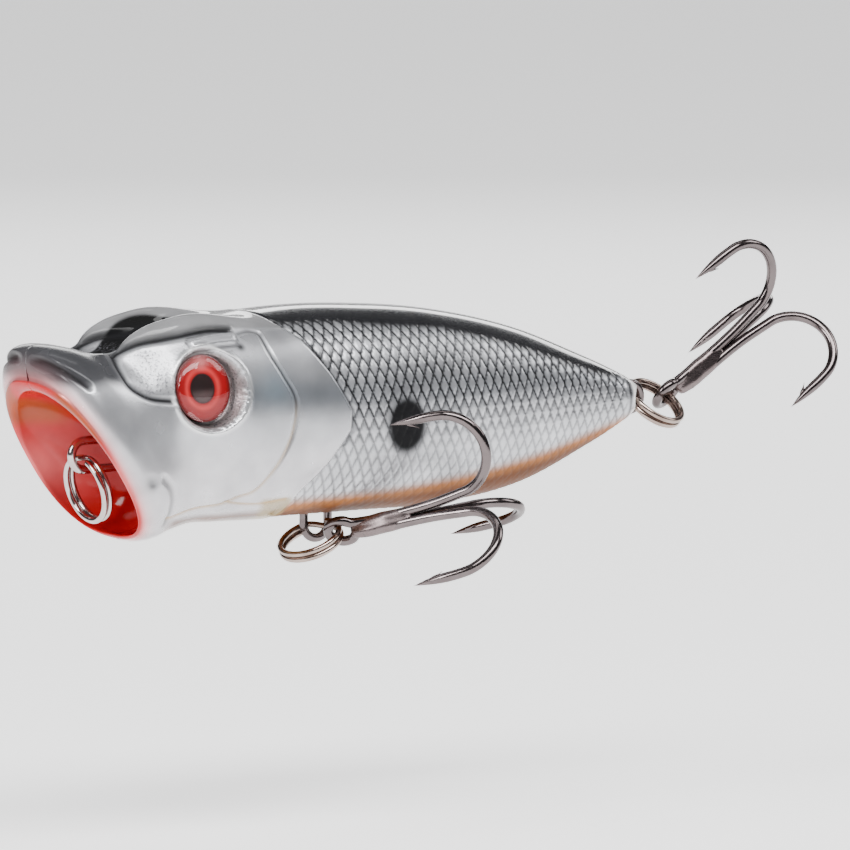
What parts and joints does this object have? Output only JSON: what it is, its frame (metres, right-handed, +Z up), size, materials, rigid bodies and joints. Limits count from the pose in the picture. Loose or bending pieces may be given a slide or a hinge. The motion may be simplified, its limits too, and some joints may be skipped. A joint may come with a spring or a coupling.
{
  "type": "topwater popper",
  "caption": "Hollow cup-faced topwater fishing lure with painted scaled body, moulded eyes, inner rattle, wire hangers, split rings and treble hooks.",
  "frame": {"origin": "centre of the line tie's wire eye, on the lure's middle plane", "axes": "+X runs from the mouth to the tail, +Z up to the back, -Y to the fish's left flank"},
  "size_m": [0.086, 0.0283, 0.0271],
  "materials": {
    "painted_shell": "metallic silver with scales, black back, amber belly, red mouth",
    "bright_wire": "polished",
    "ring_steel": "dark nickel",
    "hook_steel": "black nickel",
    "eye_foil": "red foil with a black pupil",
    "eye_lens": "clear resin",
    "lead": "dull",
    "ball_steel": "polished"
  },
  "bodies": {
    "hull": {"left_shell": "painted_shell", "right_shell": "painted_shell", "line_tie_wire": "bright_wire", "belly_hanger_wire": "bright_wire", "tail_hanger_wire": "bright_wire", "left_eye_disc": "eye_foil", "left_eye_dome": "eye_lens", "right_eye_disc": "eye_foil", "right_eye_dome": "eye_lens", "tail_weight": "lead"},
    "first_ball": {"rattle_ball_1": "ball_steel"},
    "second_ball": {"rattle_ball_2": "ball_steel"},
    "third_ball": {"rattle_ball_3": "ball_steel"},
    "nose_ring": {"nose_split_ring": "bright_wire"},
    "belly_ring": {"belly_split_ring": "ring_steel"},
    "belly_treble": {"belly_treble_double": "hook_steel", "belly_treble_single": "hook_steel"},
    "tail_ring": {"tail_split_ring": "ring_steel"},
    "tail_treble": {"tail_treble_double": "hook_steel", "tail_treble_single": "hook_steel"}
  },
  "joints": [
    {"name": "nose_ring_swing", "type": "hinge", "parent": "hull", "child": "nose_ring", "pos_m": [-0.00025, 0, -0.0002], "axis": [0, 1, 0], "range_deg": [-45, 160]},
    {"name": "belly_ring_swing", "type": "hinge", "parent": "hull", "child": "belly_ring", "pos_m": [0.0248, 0, -0.008], "axis": [0, 1, 0], "range_deg": [-15, 20]},
    {"name": "belly_treble_swing", "type": "hinge", "parent": "belly_ring", "child": "belly_treble", "pos_m": [0.02501, -0.00354, -0.00837], "axis": [-0.5295, -0.7744, -0.3463], "range_deg": [-80, 0]},
    {"name": "tail_ring_swing", "type": "hinge", "parent": "hull", "child": "tail_ring", "pos_m": [0.06, 0, 0.001], "axis": [0.1612, 0.8133, 0.5591], "range_deg": [-75, 2]},
    {"name": "tail_treble_swing", "type": "hinge", "parent": "tail_ring", "child": "tail_treble", "pos_m": [0.06481, 0.00147, 0.00071], "axis": [0.5232, -0.6044, -0.6008], "range_deg": [-92, 20]},
    {"name": "first_ball_slide", "type": "slide", "parent": "hull", "child": "first_ball", "axis": [1, 0, 0], "range_m": [0, 0.004]},
    {"name": "second_ball_slide", "type": "slide", "parent": "hull", "child": "second_ball", "axis": [1, 0, 0], "range_m": [0, 0.004]},
    {"name": "third_ball_slide", "type": "slide", "parent": "hull", "child": "third_ball", "axis": [1, 0, 0], "range_m": [0, 0.004]}
  ],
  "couplings": [
    {"joint": "second_ball_slide", "follows": "first_ball_slide", "ratio": 1},
    {"joint": "third_ball_slide", "follows": "first_ball_slide", "ratio": 1}
  ]
}
